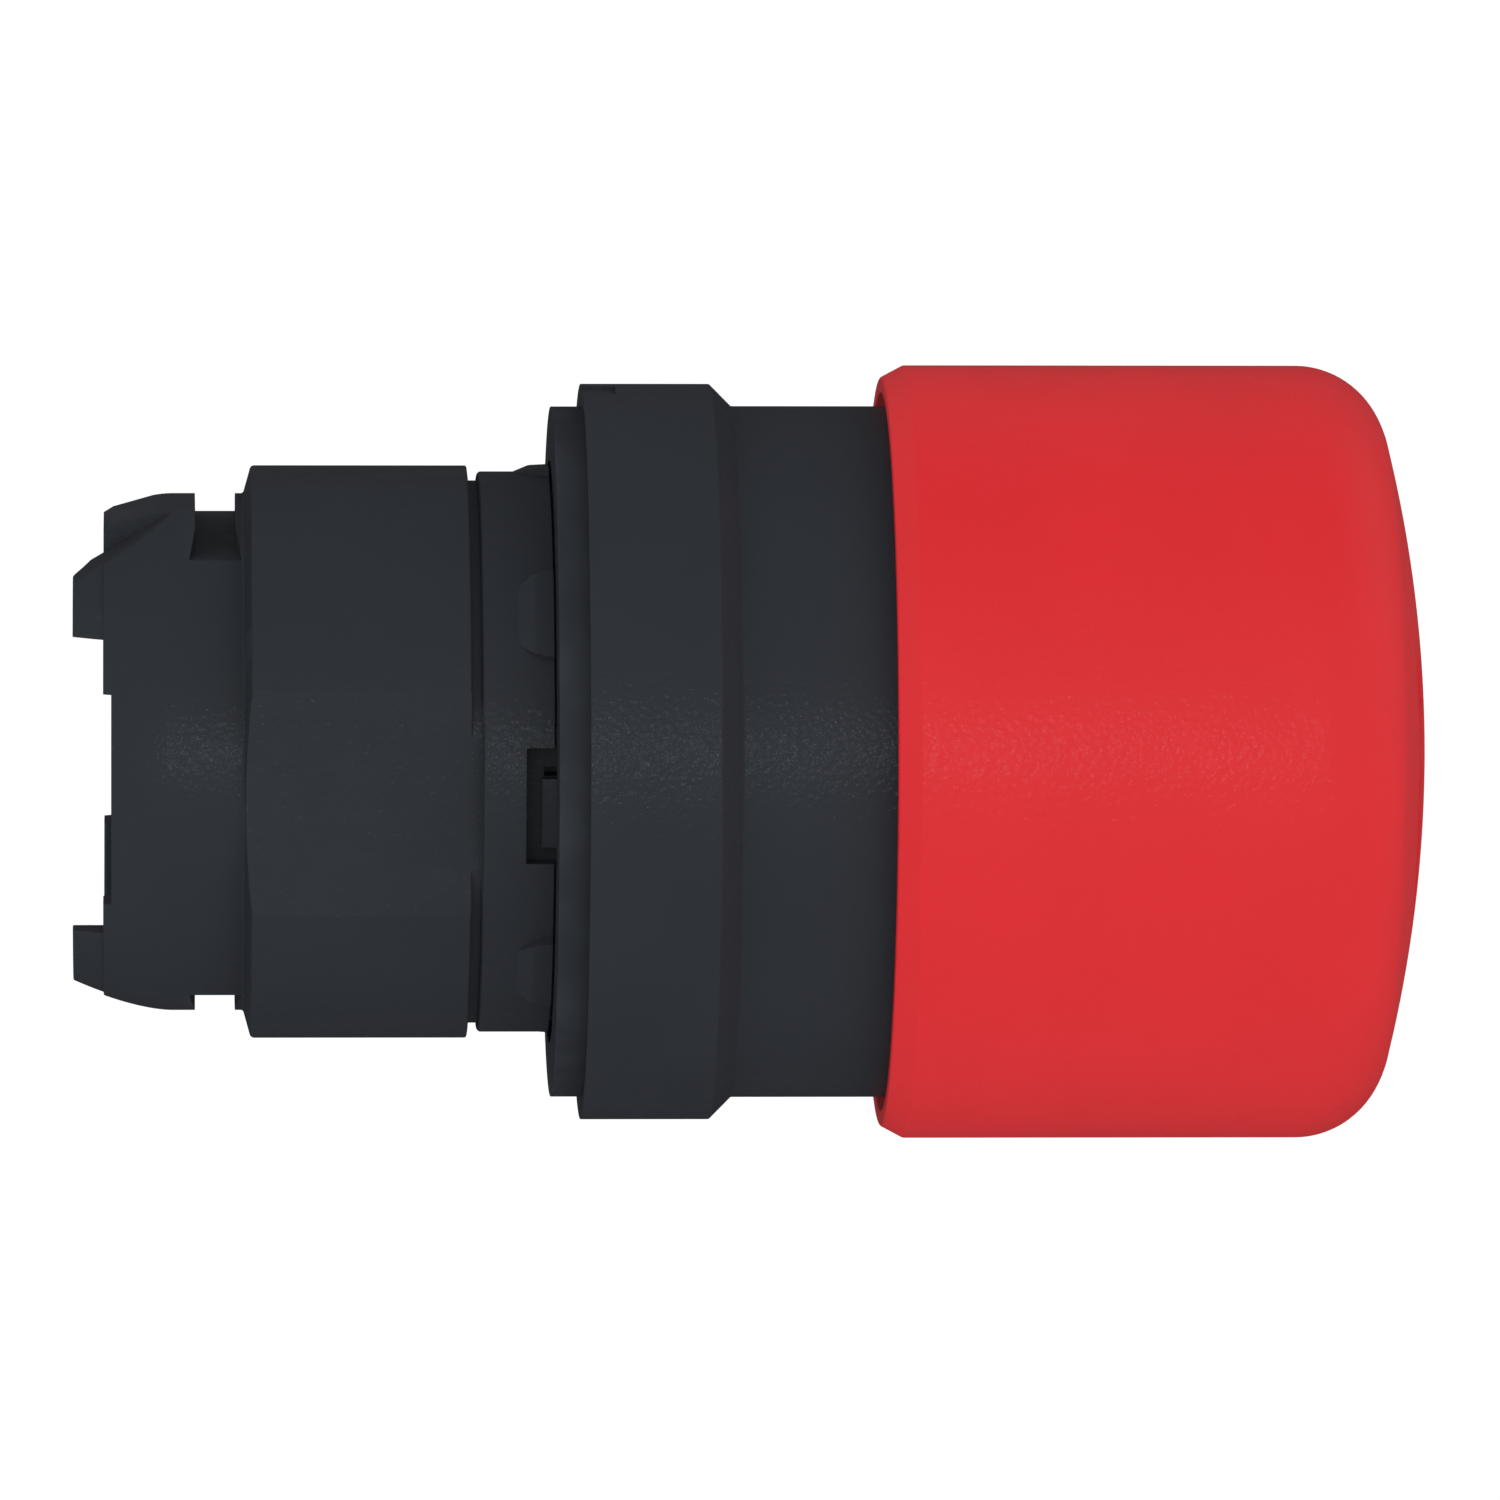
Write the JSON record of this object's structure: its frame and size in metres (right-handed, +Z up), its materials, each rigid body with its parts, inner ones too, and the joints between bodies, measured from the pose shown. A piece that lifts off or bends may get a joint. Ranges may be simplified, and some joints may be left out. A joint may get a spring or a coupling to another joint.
{
  "type": "emergency stop button head",
  "caption": "Latching emergency stop head for a 22 mm panel hole: red mushroom cap that is pushed to stop and turned to release, black bezel, panel gasket and rear barrel.",
  "frame": {"origin": "on the button's axis, in the middle of the head's length (the centre of its bounding box); the panel's front face, where the gasket's rear face rests, is the plane X = -0.00789 m", "axes": "+X along the button's axis towards the operator, +Z up with the locating flat of the barrel on top"},
  "size_m": [0.0524, 0.03, 0.03],
  "materials": {
    "cap_red": "satin moulded plastic with a fine spark-eroded grain",
    "housing_black": "matt moulded plastic with a fine grain",
    "inner_grey": "moulded glass-filled plastic",
    "latch_natural": "natural acetal, satin",
    "seal_rubber": "matt black rubber",
    "spring_steel": "drawn spring wire and stamped steel"
  },
  "bodies": {
    "housing": {"barrel": "housing_black", "front_bezel": "housing_black", "panel_gasket": "seal_rubber", "cap_lip_seal": "seal_rubber", "spindle_seal": "seal_rubber", "spring_seat_washer": "spring_steel", "return_spring": "spring_steel", "latch_cage": "inner_grey", "pawl_spring_upper": "spring_steel", "pawl_spring_lower": "spring_steel", "actuator_spring": "spring_steel", "rear_retainer": "housing_black"},
    "plunger": {"cam_sleeve": "latch_natural", "actuator_plunger": "inner_grey", "torsion_spring": "spring_steel"},
    "cap": {"mushroom_cap": "cap_red", "cap_hub": "inner_grey", "hub_pin": "spring_steel", "spindle": "spring_steel", "spindle_clip": "spring_steel"},
    "upper_pawl": {"latch_pawl_upper": "latch_natural"},
    "lower_pawl": {"latch_pawl_lower": "latch_natural"}
  },
  "joints": [
    {"name": "push", "type": "slide", "parent": "housing", "child": "plunger", "axis": [-1, 0, 0], "range_m": [0, 0.0045], "deforming": ["return_spring", "actuator_spring"]},
    {"name": "twist", "type": "hinge", "parent": "plunger", "child": "cap", "pos_m": [0, 0, 0], "axis": [-1, 0, 0], "range_deg": [0, 45], "deforming": ["torsion_spring"]},
    {"name": "pawl_upper_slide", "type": "slide", "parent": "housing", "child": "upper_pawl", "axis": [0, 0, -1], "range_m": [0, 0.0008], "deforming": ["pawl_spring_upper"]},
    {"name": "pawl_lower_slide", "type": "slide", "parent": "housing", "child": "lower_pawl", "axis": [0, 0, 1], "range_m": [0, 0.0008], "deforming": ["pawl_spring_lower"]}
  ],
  "couplings": [
    {"joint": "pawl_upper_slide", "follows": "push", "ratio": 0.17777},
    {"joint": "pawl_lower_slide", "follows": "push", "ratio": 0.17777}
  ]
}
